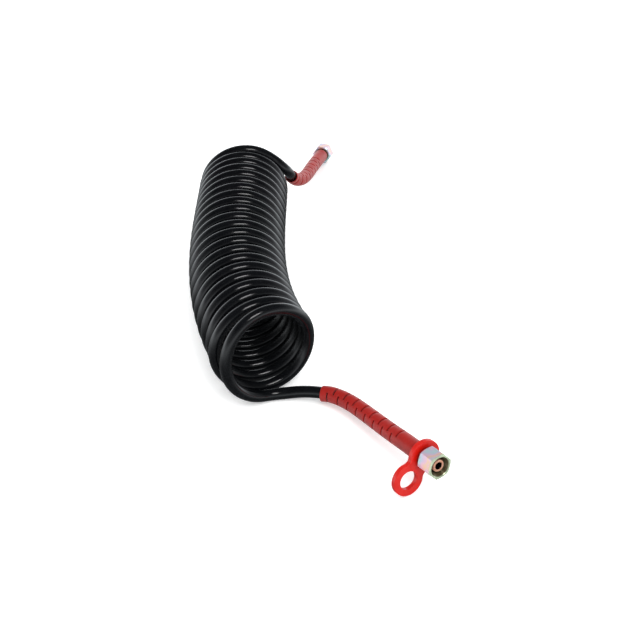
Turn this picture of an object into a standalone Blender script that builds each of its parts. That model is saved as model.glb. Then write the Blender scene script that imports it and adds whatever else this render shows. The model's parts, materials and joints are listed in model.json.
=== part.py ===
"""Coiled air hose for a trailer coupling: 12 mm polyamide tube wound into a spring, with a swivel-nut
fitting, a crimped barb and a slit anti-kink sleeve on each end, and a figure-eight tag ring on the near
one. The hose lies on the plane z = 0. Its coil runs along Y, from the near end to the far end."""

from math import atan2, cos, pi, radians, sin, tan

import bmesh
import bpy
import numpy as np
from mathutils import Matrix, Vector

MM = 0.001

# --- tube and coil -------------------------------------------------------------------------------
TUBE_R = 6.0 * MM                     # 12 x 1.5 tube
COIL_R = 52.5 * MM                    # outside radius of the coil
COIL_START = (-34.0 * MM, -178.0 * MM)
COIL_LENGTH = 360.4 * MM              # along the coil's own bent axis
COIL_HEADING = radians(-19.26)        # of the axis at its near end, from +Y towards +X
COIL_BEND = 3.0895                    # how fast the heading turns there, rad per m
COIL_UNBEND = 10.206                  # and how fast that turning eases off, rad per m per m
COIL_NEAR_CAP = 3.0 * MM              # the plain coil solid stops clear of both leads
COIL_FAR_CAP = COIL_LENGTH - 3.6 * MM
COIL_SEGMENTS = 16
COIL_SIDES = 32
PLAN_CENTRE = Vector((1.25, -1.67, 0.0)) * MM  # middle of the plan outline: the hose's origin

# --- the two leads, each from the coil to the straight stretch behind its fitting -----------------
NEAR_ROUTE = [(-32.9, -181.2, 6.0), (-21.0, -180.3, 6.6), (-8.6, -181.6, 8.6), (8.8, -187.3, 11.1),
              (21.9, -194.4, 12.6), (36.5, -208.4, 14.2), (48.7, -227.9, 16.4),
              (59.9, -251.1, 20.2), (70.6, -273.4, 24.2)]
FAR_ROUTE = [(19.5, 175.6, 66.7), (26.0, 182.1, 54.9), (31.0, 193.1, 46.5), (37.5, 205.3, 39.6),
             (46.4, 224.6, 32.9), (55.0, 248.6, 27.7), (62.7, 271.1, 23.5)]
NEAR_LEAVES = (0.998, 0.05, 0.0)      # direction of the tube where each lead leaves the coil
FAR_LEAVES = (0.436, 0.342, -0.766)
NEAR_NUT_FRONT = (99.5, -336.4, 37.3)
NEAR_AXIS = (0.406, -0.895, 0.185)
FAR_NUT_FRONT = (86.4, 333.7, 12.6)
FAR_AXIS = (0.352, 0.923, -0.158)
TUBE_STEP = 12 * MM                   # between the points of a lead tube
GUIDE_STEP = 5 * MM                   # between the points that a sleeve is bent along
TUBE_SIDES = 12
AXIS_STEPS = 60                       # steps in which the coil's bent axis is added up
SPLINE_STEPS = 24                     # steps between two knots of a lead, before it is spaced evenly

# --- fitting, measured along its axis: 0 at the nut's front face, negative towards the tube -------
NUT_FLATS = 22 * MM                   # M18 x 1.5 union nut
NUT_LENGTH = 18 * MM
NUT_CHAMFER_R = 10.6 * MM             # where the 30 degree corner chamfer meets a face
NUT_THREAD_R = 8.2 * MM               # at the thread's crests
NUT_MOUTH_R = 9.5 * MM
NUT_THREAD_END = -12.7 * MM
NUT_REAR_R = 5.6 * MM
NUT_BLANK_SIDES = 48                  # of the turned blank that chamfers the hexagon
NUT_BORE_SIDES = 32
NEAR_NUT_CORNER = radians(10)        # one corner's direction, from the fitting's own +X
FAR_NUT_CORNER = radians(4.0)

HEAD_FRONT = -2.7 * MM
HEAD_R = 7.6 * MM                     # largest radius of the nipple's head
HEAD_SHOULDER = -12.1 * MM            # the cone opens out to that radius here
CONE_TIP_R = 5.6 * MM
CONE_HALF_ANGLE = radians(12)
NECK_R = 5.0 * MM
NIPPLE_BORE_R = 3.5 * MM
COLLAR_R = 7.0 * MM
COLLAR_FRONT = -18.6 * MM
COLLAR_REAR = -23.3 * MM
BARB_R = 4.5 * MM
BARB_ROOT_R = 4.05 * MM
BARB_PITCH = 7.0 * MM
BARBS = 3
BARB_LIP = 0.3 * MM                   # from a barb's root to its crest
NIPPLE_EDGE = 0.4 * MM
NIPPLE_SIDES = 24
GROOVE_FRONT = -6.0 * MM              # O-ring groove in the cone
GROOVE_REAR = -8.0 * MM
GROOVE_R = 5.15 * MM
O_RING_R = 0.75 * MM                  # radius of the ring's own section
O_RING_REST = 0.15 * MM               # it lies this far off the groove's floor
O_RING_POINTS = 10
O_RING_SIDES = 24
TUBE_END = -23.7 * MM
TUBE_BORE_R = 4.9 * MM                # widened over the barbs
TUBE_BORE_DEPTH = 24.5 * MM
TUBE_BORE_SIDES = 24
STRAIGHT_END = -50.5 * MM             # the hose is straight from here to the fitting

FERRULE_FRONT = -23.7 * MM
FERRULE_LENGTH = 20 * MM
FERRULE_IN_R = 6.35 * MM
FERRULE_OUT_R = 7.2 * MM
FERRULE_EDGE = 0.3 * MM
FERRULE_SIDES = 32

SLEEVE_FRONT = -20.0 * MM
SLEEVE_LENGTH = 153.5 * MM
SLEEVE_COLLAR = 30 * MM               # straight stretch behind the fitting
SLEEVE_COLLAR_R = 8.6 * MM
SLEEVE_END_R = 8.05 * MM
SLEEVE_BORE_R = 6.8 * MM
SLEEVE_FERRULE_BORE_R = 7.6 * MM
SLEEVE_FERRULE_ROOM = 1.3 * MM        # the wide bore goes this far beyond the ferrule
SLEEVE_RIM = 0.5 * MM
SLEEVE_RINGS = 14                     # rings of faces along the stretch that bends
SLEEVE_SIDES = 20

# --- figure-eight tag ring ------------------------------------------------------------------------
RING_OUT_R = 15.5 * MM
RING_HOLE_R = 9.0 * MM
RING_SPACING = 26 * MM                # between the two holes
RING_THICKNESS = 5 * MM
RING_FILLET_R = 5 * MM                # in the waist between the two rings
RING_EDGE_R = 0.5 * MM
RING_PLACE = -24.3 * MM               # middle of its thickness
EYE_DIRECTION = radians(221.5)        # of the free eye, from the fitting's own +X
RING_ARC_STEPS = 24                   # along the outside of one ring
RING_FILLET_STEPS = 6
RING_HOLE_SIDES = 32

MERGE = 0.01 * MM
CUT_BEYOND = 2 * MM                   # a cutter reaches this far past the face that it cuts through


# --- scene helpers --------------------------------------------------------------------------------
def clear_scene():
    for old in list(bpy.data.objects):
        bpy.data.objects.remove(old)


def new_collection(name):
    collection = bpy.data.collections.new(name)
    bpy.context.scene.collection.children.link(collection)
    return collection


def principled(name, colour, roughness, metallic=0.0):
    material = bpy.data.materials.new(name)
    material.use_nodes = True
    shader = material.node_tree.nodes["Principled BSDF"]
    shader.inputs["Base Color"].default_value = (*colour, 1.0)
    shader.inputs["Roughness"].default_value = roughness
    shader.inputs["Metallic"].default_value = metallic
    return material


def body_empty(name, origin):
    """An empty that every piece of one rigid body hangs on."""
    empty = bpy.data.objects.new(name, None)
    empty.location = origin
    empty.empty_display_size = 0.02
    PARTS.objects.link(empty)
    return empty


def add_piece(name, data, material, matrix, body):
    """One named sub-part, at a world matrix, hung on its body's empty."""
    piece = bpy.data.objects.new(name, data)
    piece.data.materials.append(MATERIALS[material])
    piece.parent = body
    piece.matrix_basis = Matrix.Translation(-body.location) @ matrix
    PARTS.objects.link(piece)
    return piece


def add_tool(name, data, matrix=None):
    """A cutter or guide, which isn't part of the hose."""
    tool = bpy.data.objects.new(name, data)
    tool.matrix_basis = matrix or Matrix.Identity(4)
    tool.hide_render = True
    tool.display_type = "WIRE"
    TOOLS.objects.link(tool)
    return tool


def cut(piece, tool, operation="DIFFERENCE"):
    boolean = piece.modifiers.new(operation.title() + " " + tool.name, "BOOLEAN")
    boolean.operation = operation
    boolean.solver = "EXACT"
    boolean.object = tool


# --- shapes ---------------------------------------------------------------------------------------
def profile_mesh(name, profile):
    """A closed outline of (radius, height) points, in the XZ plane."""
    mesh = bpy.data.meshes.new(name)
    count = len(profile)
    edges = [(i, (i + 1) % count) for i in range(count)]
    mesh.from_pydata([(r, 0.0, z) for r, z in profile], edges, [])
    return mesh


def turn(obj, sides):
    """Sweeps an outline round Z. An outline runs down its outer side and up its inner side."""
    screw = obj.modifiers.new("Turn", "SCREW")
    screw.angle = 2 * pi
    screw.screw_offset = 0
    screw.steps = screw.render_steps = sides
    screw.axis = "Z"
    screw.use_merge_vertices = True
    screw.merge_threshold = MERGE
    screw.use_smooth_shade = True


def turned_piece(name, profile, sides, material, matrix, body):
    piece = add_piece(name, profile_mesh(name, profile), material, matrix, body)
    turn(piece, sides)
    return piece


def turned_tool(name, profile, sides, matrix=None):
    tool = add_tool(name, profile_mesh(name, profile), matrix)
    turn(tool, sides)
    return tool


def poly_curve(name, points, radius=0.0, sides=4):
    """A curve through points, as a guide or as a solid round bar."""
    curve = bpy.data.curves.new(name, "CURVE")
    curve.dimensions = "3D"
    curve.bevel_depth = radius
    curve.bevel_resolution = (sides - 4) // 2
    curve.use_fill_caps = radius > 0
    spline = curve.splines.new("POLY")
    spline.points.add(len(points) - 1)
    for spot, point in zip(spline.points, points):
        spot.co = (*point, 1.0)
    spline.use_smooth = True
    return curve


def mesh_of(tool):
    """The evaluated mesh of a curve object, with its caps welded on."""
    evaluated = tool.evaluated_get(bpy.context.evaluated_depsgraph_get())
    mesh = bpy.data.meshes.new_from_object(evaluated)
    work = bmesh.new()
    work.from_mesh(mesh)
    bmesh.ops.remove_doubles(work, verts=work.verts, dist=MERGE)
    work.to_mesh(mesh)
    work.free()
    return mesh


def shade_round(mesh):
    mesh.shade_smooth()
    mesh.set_sharp_from_angle(angle=radians(35))


# --- the hose's route -----------------------------------------------------------------------------
def placed(point):
    """A point of the layout, given in mm, in the hose's own frame."""
    return Vector(point) * MM - PLAN_CENTRE


def coil_axis(distance):
    """The coil's axis at a distance along it: an arc that straightens towards the far end."""
    x, y = COIL_START
    length = distance / AXIS_STEPS
    for step in range(AXIS_STEPS):
        middle = (step + 0.5) * length
        heading = COIL_HEADING + COIL_BEND * middle - COIL_UNBEND * middle ** 2 / 2
        x += sin(heading) * length
        y += cos(heading) * length
    return Vector((x, y, COIL_R)) - PLAN_CENTRE


def smooth_through(points, first_tangent, last_tangent, step):
    """Points a step apart on the cubic spline through points, clamped to a tangent at each end."""
    knots = np.array([tuple(p) for p in points])
    gaps = np.linalg.norm(np.diff(knots, axis=0), axis=1)
    count = len(knots)
    system = np.eye(count)
    right = np.zeros((count, 3))
    right[0] = first_tangent
    right[-1] = last_tangent
    for i in range(1, count - 1):
        before, after = gaps[i - 1], gaps[i]
        system[i, i - 1:i + 2] = after, 2 * (before + after), before
        right[i] = 3 * (after * (knots[i] - knots[i - 1]) / before
                        + before * (knots[i + 1] - knots[i]) / after)
    tangents = np.linalg.solve(system, right)
    fine = [knots[0]]
    for i in range(count - 1):
        for t in np.linspace(0, 1, SPLINE_STEPS + 1)[1:]:
            fine.append(knots[i] * (1 + 2 * t) * (1 - t) ** 2 + tangents[i] * gaps[i] * t * (1 - t) ** 2
                        + knots[i + 1] * t * t * (3 - 2 * t) + tangents[i + 1] * gaps[i] * t * t * (t - 1))
    fine = np.array(fine)
    along = np.concatenate([[0], np.cumsum(np.linalg.norm(np.diff(fine, axis=0), axis=1))])
    stations = np.linspace(0, along[-1], round(along[-1] / step) + 1)
    return [Vector([np.interp(s, along, fine[:, k]) for k in range(3)]) for s in stations]


class Fitting:
    """Where one fitting sits. Its frame has +Z out of the nut's front face and +X horizontal, to the
    right of someone who looks along +Z."""

    def __init__(self, front, axis):
        self.front = placed(front)
        self.axis = Vector(axis).normalized()
        across = Vector((0, 0, 1)).cross(self.axis).normalized()
        up = self.axis.cross(across)
        self.turn_frame = Matrix((across, up, self.axis)).transposed().to_4x4()

    def at(self, station):
        return self.front + self.axis * station

    def matrix(self, station=0.0, spin=0.0):
        return (Matrix.Translation(self.at(station)) @ self.turn_frame
                @ Matrix.Rotation(spin, 4, "Z"))


def lead_points(route, leaves, fitting, step):
    """The centreline of one lead, from the coil to the tube's end in the fitting."""
    knots = [placed(p) for p in route] + [fitting.at(STRAIGHT_END)]
    bent = smooth_through(knots, leaves, tuple(fitting.axis), step)
    return bent + [fitting.at(STRAIGHT_END / 2 + TUBE_END / 2), fitting.at(TUBE_END)]


# --- coil and leads -------------------------------------------------------------------------------
def coil_body(body):
    span = COIL_FAR_CAP - COIL_NEAR_CAP
    points = [coil_axis(COIL_NEAR_CAP + span * i / COIL_SEGMENTS) for i in range(COIL_SEGMENTS + 1)]
    curve = poly_curve("coil_body", points, COIL_R, COIL_SIDES)
    add_piece("coil_body", curve, "tube", Matrix.Identity(4), body)


def lead_tube(name, route, leaves, fitting, body):
    """The tube of one lead, solid but for the stretch that the barbs widen."""
    points = lead_points(route, leaves, fitting, TUBE_STEP)
    bar = add_tool(name + "_bar", poly_curve(name + "_bar", points, TUBE_R, TUBE_SIDES))
    bpy.context.view_layer.update()
    mesh = mesh_of(bar)
    bpy.data.objects.remove(bar)
    shade_round(mesh)
    tube = add_piece(name, mesh, "tube", Matrix.Identity(4), body)
    foot, beyond = TUBE_END - TUBE_BORE_DEPTH, TUBE_END + CUT_BEYOND
    bore = [(0, beyond), (TUBE_BORE_R, beyond), (TUBE_BORE_R, foot), (0, foot)]
    cut(tube, turned_tool(name + "_bore", bore, TUBE_BORE_SIDES, fitting.matrix()))


def sleeve_profile():
    """Outline of a straight sleeve: height 0 at the fitting, SLEEVE_LENGTH at the free end."""
    rim = SLEEVE_RIM
    deep = FERRULE_LENGTH - FERRULE_FRONT + SLEEVE_FRONT + SLEEVE_FERRULE_ROOM
    bend = SLEEVE_LENGTH - SLEEVE_COLLAR - 3 * rim
    heights = [SLEEVE_COLLAR + bend * i / SLEEVE_RINGS for i in range(SLEEVE_RINGS + 1)]
    slope = (SLEEVE_END_R - SLEEVE_COLLAR_R) / bend
    outer = [(SLEEVE_COLLAR_R + slope * (h - SLEEVE_COLLAR), h) for h in reversed(heights)]
    inner = [(SLEEVE_BORE_R, h) for h in heights]
    lip = [(SLEEVE_BORE_R, SLEEVE_LENGTH), (SLEEVE_END_R - rim, SLEEVE_LENGTH),
           (SLEEVE_END_R, SLEEVE_LENGTH - rim)]
    collar = [(SLEEVE_COLLAR_R, rim), (SLEEVE_COLLAR_R - rim, 0), (SLEEVE_FERRULE_BORE_R, 0),
              (SLEEVE_FERRULE_BORE_R, deep),
              (SLEEVE_BORE_R, deep + SLEEVE_FERRULE_BORE_R - SLEEVE_BORE_R)]
    return lip + outer + collar + inner


def sleeve(name, route, leaves, fitting, body):
    """An anti-kink sleeve: turned straight, then bent along the hose from the fitting to its end."""
    back = list(reversed(lead_points(route, leaves, fitting, GUIDE_STEP)))
    points = [fitting.at(SLEEVE_FRONT)] + back
    guide = add_tool(name + "_guide", poly_curve(name + "_guide", points))
    piece = turned_piece(name, sleeve_profile(), SLEEVE_SIDES, "sleeve", Matrix.Identity(4), body)
    bend = piece.modifiers.new("Bend", "CURVE")
    bend.object = guide
    bend.deform_axis = "POS_Z"


# --- fittings -------------------------------------------------------------------------------------
def union_nut(name, fitting, corner, body):
    """A hexagon with both faces chamfered, threaded in front and stepped in to the neck behind."""
    half = NUT_LENGTH / 2
    corner_r = NUT_FLATS / 2 / cos(pi / 6)
    mesh = bpy.data.meshes.new(name)
    hexagon = bmesh.new()
    bmesh.ops.create_cone(hexagon, cap_ends=True, segments=6, radius1=corner_r, radius2=corner_r,
                          depth=NUT_LENGTH, matrix=Matrix.Translation((0, 0, -half))
                          @ Matrix.Rotation(pi / 6, 4, "Z"))
    hexagon.to_mesh(mesh)
    hexagon.free()
    piece = add_piece(name, mesh, "nut", fitting.matrix(0, corner), body)
    drop = (corner_r - NUT_CHAMFER_R) * tan(radians(30))
    wide = corner_r + CUT_BEYOND
    widen = CUT_BEYOND * tan(radians(30))
    blank = [(0, 0), (NUT_CHAMFER_R, 0), (wide, -drop - widen), (wide, -NUT_LENGTH + drop + widen),
             (NUT_CHAMFER_R, -NUT_LENGTH), (0, -NUT_LENGTH)]
    blank_tool = turned_tool(name + "_blank", blank, NUT_BLANK_SIDES, fitting.matrix())
    cut(piece, blank_tool, "INTERSECT")
    step = NUT_THREAD_R - NUT_REAR_R
    bore = [(0, CUT_BEYOND), (NUT_MOUTH_R + CUT_BEYOND, CUT_BEYOND),
            (NUT_THREAD_R, NUT_THREAD_R - NUT_MOUTH_R), (NUT_THREAD_R, NUT_THREAD_END),
            (NUT_REAR_R, NUT_THREAD_END - step), (NUT_REAR_R, -NUT_LENGTH - CUT_BEYOND),
            (0, -NUT_LENGTH - CUT_BEYOND)]
    cut(piece, turned_tool(name + "_bore", bore, NUT_BORE_SIDES, fitting.matrix()))


def nipple_profile():
    """Outline of the nipple: coned head with an O-ring groove, neck, collar and barbed tail."""
    def cone_r(z):
        return CONE_TIP_R + (HEAD_FRONT - z) * tan(CONE_HALF_ANGLE)
    edge, shoulder = NIPPLE_EDGE, HEAD_SHOULDER
    outer = [(CONE_TIP_R - edge, HEAD_FRONT), (CONE_TIP_R, HEAD_FRONT - edge),
             (cone_r(GROOVE_FRONT), GROOVE_FRONT), (GROOVE_R, GROOVE_FRONT),
             (GROOVE_R, GROOVE_REAR), (cone_r(GROOVE_REAR), GROOVE_REAR),
             (HEAD_R, shoulder), (HEAD_R, shoulder - edge),
             (NECK_R, shoulder - edge - (HEAD_R - NECK_R)),
             (NECK_R, COLLAR_FRONT), (COLLAR_R, COLLAR_FRONT), (COLLAR_R, COLLAR_REAR)]
    for barb in range(BARBS):
        root = COLLAR_REAR - barb * BARB_PITCH
        outer += [(BARB_ROOT_R, root), (BARB_R, root - BARB_LIP)]
    tail = COLLAR_REAR - BARBS * BARB_PITCH
    return outer + [(BARB_ROOT_R - edge, tail), (NIPPLE_BORE_R, tail), (NIPPLE_BORE_R, HEAD_FRONT)]


def nipple(name, fitting, body):
    turned_piece(name, nipple_profile(), NIPPLE_SIDES, "nipple", fitting.matrix(), body)


def ferrule(name, fitting, body):
    """The ring that is crimped over the tube and the barbs."""
    edge = FERRULE_EDGE
    top, foot = FERRULE_FRONT, FERRULE_FRONT - FERRULE_LENGTH
    outline = [(FERRULE_OUT_R - edge, top), (FERRULE_OUT_R, top - edge), (FERRULE_OUT_R, foot + edge),
               (FERRULE_OUT_R - edge, foot), (FERRULE_IN_R, foot), (FERRULE_IN_R, top)]
    turned_piece(name, outline, FERRULE_SIDES, "ferrule", fitting.matrix(), body)


def o_ring(name, fitting, body):
    """A round-section ring in the groove of the nipple's head."""
    middle = (GROOVE_FRONT + GROOVE_REAR) / 2
    ring_r = GROOVE_R + O_RING_R + O_RING_REST
    turns = [2 * pi * i / O_RING_POINTS for i in range(O_RING_POINTS)]
    outline = [(ring_r + O_RING_R * cos(a), middle - O_RING_R * sin(a)) for a in turns]
    turned_piece(name, outline, O_RING_SIDES, "o_ring", fitting.matrix(), body)


def arc(centre, radius, middle, half_sweep, steps):
    """Points of an arc in plan, from middle - half_sweep to middle + half_sweep."""
    angles = [middle - half_sweep + 2 * half_sweep * i / steps for i in range(steps + 1)]
    return [(centre[0] + radius * cos(a), centre[1] + radius * sin(a)) for a in angles]


def figure_eight():
    """Outlines of the tag ring: two equal rings joined by a filleted waist, and their holes."""
    half = RING_SPACING / 2
    reach = RING_OUT_R + RING_FILLET_R            # from a ring's centre to a fillet's centre
    lift = (reach ** 2 - half ** 2) ** 0.5        # of a fillet's centre off the line of the rings
    touch = atan2(lift, half)                     # direction in which ring and fillet meet
    spread = pi / 2 - touch
    outline, holes = [], []
    for side, facing in ((1, 0.0), (-1, pi)):
        outline += arc((side * half, 0), RING_OUT_R, facing, pi - touch, RING_ARC_STEPS)
        # the fillet bulges inwards, so it is gone round the other way
        outline += arc((0, side * lift), RING_FILLET_R, facing - pi / 2, -spread, RING_FILLET_STEPS)[1:-1]
        holes.append(arc((side * half, 0), RING_HOLE_R, 0.0, pi, RING_HOLE_SIDES)[1:])
    return [outline] + holes


def tag_ring(name, fitting, body):
    """The flat figure-eight ring behind the near nut, turned about the sleeve that it sits on."""
    curve = bpy.data.curves.new(name, "CURVE")
    curve.dimensions = "2D"
    curve.fill_mode = "BOTH"
    curve.extrude = RING_THICKNESS / 2 - RING_EDGE_R
    curve.bevel_depth = RING_EDGE_R
    curve.bevel_resolution = 1
    curve.offset = -RING_EDGE_R
    for outline in figure_eight():
        spline = curve.splines.new("POLY")
        spline.points.add(len(outline) - 1)
        for spot, (x, y) in zip(spline.points, outline):
            spot.co = (x + RING_SPACING / 2, y, 0, 1)
        spline.use_cyclic_u = True
    add_piece(name, curve, "tag", fitting.matrix(RING_PLACE, EYE_DIRECTION), body)


# --- the hose -------------------------------------------------------------------------------------
clear_scene()
PARTS = new_collection("coiled_air_hose")
TOOLS = new_collection("cutters_and_guides")
MATERIALS = {
    "tube": principled("black polyamide", (0.012, 0.013, 0.015), 0.18),
    "sleeve": principled("red sleeve rubber", (0.36, 0.018, 0.012), 0.5),
    "tag": principled("orange-red moulded ring", (0.72, 0.035, 0.012), 0.35),
    "nut": principled("zinc-plated steel", (0.62, 0.63, 0.66), 0.22, 1.0),
    "nipple": principled("brass", (0.72, 0.45, 0.30), 0.3, 1.0),
    "ferrule": principled("plated ferrule", (0.58, 0.58, 0.6), 0.35, 1.0),
    "o_ring": principled("seal rubber", (0.02, 0.02, 0.02), 0.6),
}

near = Fitting(NEAR_NUT_FRONT, NEAR_AXIS)
far = Fitting(FAR_NUT_FRONT, FAR_AXIS)
near_end = body_empty("near_end_body", near.front)
far_end = body_empty("far_end_body", far.front)

coil_body(near_end)
ENDS = [("near", near, near_end, NEAR_ROUTE, NEAR_LEAVES, NEAR_NUT_CORNER),
        ("far", far, far_end, FAR_ROUTE, FAR_LEAVES, FAR_NUT_CORNER)]
for end, fitting, body, route, leaves, corner in ENDS:
    lead_tube(end + "_lead_tube", route, leaves, fitting, body)
    sleeve(end + "_antikink_sleeve", route, leaves, fitting, body)
    ferrule(end + "_crimp_ferrule", fitting, body)
    nipple(end + "_nipple", fitting, body)
    o_ring(end + "_o_ring", fitting, body)
    union_nut(end + "_union_nut", fitting, corner, body)
tag_ring("near_tag_ring", near, near_end)
bpy.context.view_layer.update()
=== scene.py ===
"""Looks of the coiled air hose: its tube wound turn by turn, slit anti-kink sleeves, tag ring, plated
union nuts with their thread, and turned nipples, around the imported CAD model."""

import json
from contextlib import contextmanager
from math import acos, atan2, cos, pi, radians, sin, tan

import bmesh
import bpy
import numpy as np
from mathutils import Matrix, Vector


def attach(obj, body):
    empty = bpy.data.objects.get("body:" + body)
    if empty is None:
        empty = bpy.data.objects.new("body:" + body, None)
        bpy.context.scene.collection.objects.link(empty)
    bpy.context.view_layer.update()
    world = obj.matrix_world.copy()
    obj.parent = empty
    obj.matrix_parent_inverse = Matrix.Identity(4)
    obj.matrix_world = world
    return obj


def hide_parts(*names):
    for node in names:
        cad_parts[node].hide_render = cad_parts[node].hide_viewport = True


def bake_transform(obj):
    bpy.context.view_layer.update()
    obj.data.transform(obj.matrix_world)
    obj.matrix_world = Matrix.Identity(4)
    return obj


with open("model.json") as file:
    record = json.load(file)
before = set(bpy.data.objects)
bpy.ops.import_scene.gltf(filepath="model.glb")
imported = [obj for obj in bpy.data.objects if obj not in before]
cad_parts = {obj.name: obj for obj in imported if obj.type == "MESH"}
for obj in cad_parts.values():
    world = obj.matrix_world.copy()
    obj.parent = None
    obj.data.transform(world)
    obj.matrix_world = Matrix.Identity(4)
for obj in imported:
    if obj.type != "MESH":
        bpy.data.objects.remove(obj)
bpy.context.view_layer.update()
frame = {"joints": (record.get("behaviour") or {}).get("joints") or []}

MM = 0.001
UP = np.array([0, 0, 1.0])

# --- the hose's layout: the CAD source's, and how the real turns lie off its even winding ----------
PLAN_CENTRE = np.array([1.25, -1.67, 0.0]) * MM
TUBE_R = 6.0 * MM
TUBE_BORE_R = 4.9 * MM
COIL_R = 52.5 * MM
WIND_R = COIL_R - TUBE_R              # radius that the tube's centreline winds on
COIL_START = (-34.0 * MM, -178.0 * MM)
COIL_HEADING = radians(-19.26)        # of the coil's axis at its start, from +Y towards +X
COIL_BEND = 3.0895                    # how the heading turns along the axis: radians per metre,
COIL_UNBEND = 10.206                  # and how much that drops off per metre
TURNS = 21.75                         # of the even winding
LAST_TURN = 21.6                      # where the far lead leaves the coil
PITCH = 16.57 * MM                    # average, and how it varies along the coil
PITCH_SLOPE = -2.216 * MM
PITCH_BULGE = -8.487 * MM
WIDENING = 0.028                      # towards the far end the turns lie wider and lower, by up to
LOWERING = 0.012                      # these shares of the winding radius
# how the end turns lie off that even winding: turn, and mm along the axis and outwards
OFF_WINDING = [(0, -1.3, 0), (0.25, -3.2, -0.3), (0.5, -1.6, 2.6), (0.75, 2.2, 0.1), (1.0, -2.4, 0),
               (1.25, 2.1, 2.4), (1.5, 0, 0), (20.85, 0, 0), (21.1, 0, -1.1), (21.35, 1.2, -0.6),
               (21.6, 1.0, 2.4)]

# the leads' knots between coil and sleeve, in mm, before PLAN_CENTRE is taken off
NEAR_ROUTE = [(-21.0, -179.5, 6.6), (-8.6, -181.6, 8.6), (8.8, -187.3, 11.1), (21.9, -194.4, 12.6),
              (36.5, -208.4, 14.2), (48.7, -227.9, 16.4), (59.9, -251.1, 20.2), (70.6, -273.4, 24.2)]
FAR_ROUTE = [(19.4, 170.6, 69.8), (24.9, 182.1, 57.4), (30.4, 193.1, 47.0), (37.5, 205.3, 39.6),
             (46.4, 224.6, 32.9), (55.0, 248.6, 27.7), (62.7, 271.1, 23.5)]
# stations along a fitting's axis, behind the front face of its nut
SLEEVE_FRONT = -20.0 * MM
TUBE_END = -23.7 * MM
STRAIGHT_END = -50.5 * MM             # the tube runs straight from here to the fitting

# --- camera ----------------------------------------------------------------------------------------
CAMERA_PLACE = (-0.0948, -1.01195, 0.6851)
CAMERA_DOWN = radians(35.18)          # below the horizon
CAMERA_HEADING = radians(7.346)       # from +Y towards +X
CAMERA_FIELD = radians(32.94)
SENSOR_WIDTH = 36                     # mm


def add_camera():
    camera = bpy.data.objects.new("camera", bpy.data.cameras.new("camera"))
    camera.data.sensor_width = SENSOR_WIDTH
    camera.data.lens = SENSOR_WIDTH / 2 / tan(CAMERA_FIELD / 2)
    camera.location = CAMERA_PLACE
    camera.rotation_euler = (pi / 2 - CAMERA_DOWN, 0, -CAMERA_HEADING)
    bpy.context.scene.collection.objects.link(camera)
    bpy.context.scene.camera = camera


# --- the hose's centreline -------------------------------------------------------------------------
class Fitting:
    """One fitting's frame: front is the middle of its nut's front face, axis points out of it."""

    def __init__(self, joint_name):
        joint = next(j for j in frame["joints"] if j["name"] == joint_name)
        self.front = np.array(joint["pos_m"])
        self.axis = np.array(joint["axis"])
        across = np.cross(UP, self.axis)
        self.across = across / np.linalg.norm(across)
        self.up = np.cross(self.axis, self.across)

    def at(self, station):
        """The point of the axis at a station."""
        return self.front + self.axis * station

    def matrix(self, station=0.0, spin=0.0):
        """Puts a piece that was made about Z onto the axis, at a station and turned by spin."""
        basis = Matrix([self.across, self.up, self.axis]).transposed().to_4x4()
        return Matrix.Translation(self.at(station)) @ basis @ Matrix.Rotation(spin, 4, "Z")


def coil_axis(distance):
    """A point of the coil's axis and the axis's heading there."""
    steps = 60
    middles = (np.arange(steps) + 0.5) * distance / steps
    headings = COIL_HEADING + COIL_BEND * middles - COIL_UNBEND * middles ** 2 / 2
    x = COIL_START[0] + np.sin(headings).sum() * distance / steps
    y = COIL_START[1] + np.cos(headings).sum() * distance / steps
    end_heading = COIL_HEADING + COIL_BEND * distance - COIL_UNBEND * distance ** 2 / 2
    return np.array([x, y, COIL_R]), end_heading


def wound(turn):
    """Distance along the coil's axis at a turn: the integral of the varying pitch."""
    q = turn / TURNS
    slope = PITCH_SLOPE * (q * q - q) / 2
    bulge = PITCH_BULGE * (((q - 0.5) ** 3 + 0.125) / 3 - q / 12)
    return TURNS * (PITCH * q + slope + bulge)


def off_winding(turn):
    """How far the tube lies off the even winding at a turn: along the coil's axis, and outwards."""
    turns = [row[0] for row in OFF_WINDING]
    i = int(np.clip(np.searchsorted(turns, turn) - 1, 0, len(turns) - 2))
    share = (turn - turns[i]) / (turns[i + 1] - turns[i])
    share = share * share * (3 - 2 * share)
    before, after = np.array(OFF_WINDING[i][1:]), np.array(OFF_WINDING[i + 1][1:])
    return (before + (after - before) * share) * MM


def coil_point(turn):
    """A point of the tube's centreline: turn 0 is the coil's lowest point at its near end."""
    middle, heading = coil_axis(wound(turn))
    along = np.array([sin(heading), cos(heading), 0])
    side = np.array([cos(heading), -sin(heading), 0])
    angle = 2 * pi * turn
    shift, outwards = off_winding(turn)
    widened, lowered = WIND_R * WIDENING * turn / TURNS, WIND_R * LOWERING * turn / TURNS
    level = side * sin(angle) * (WIND_R + outwards + widened)
    upright = UP * (cos(angle) * (WIND_R + outwards - lowered) + lowered)
    return middle - level - upright + along * shift


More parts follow.
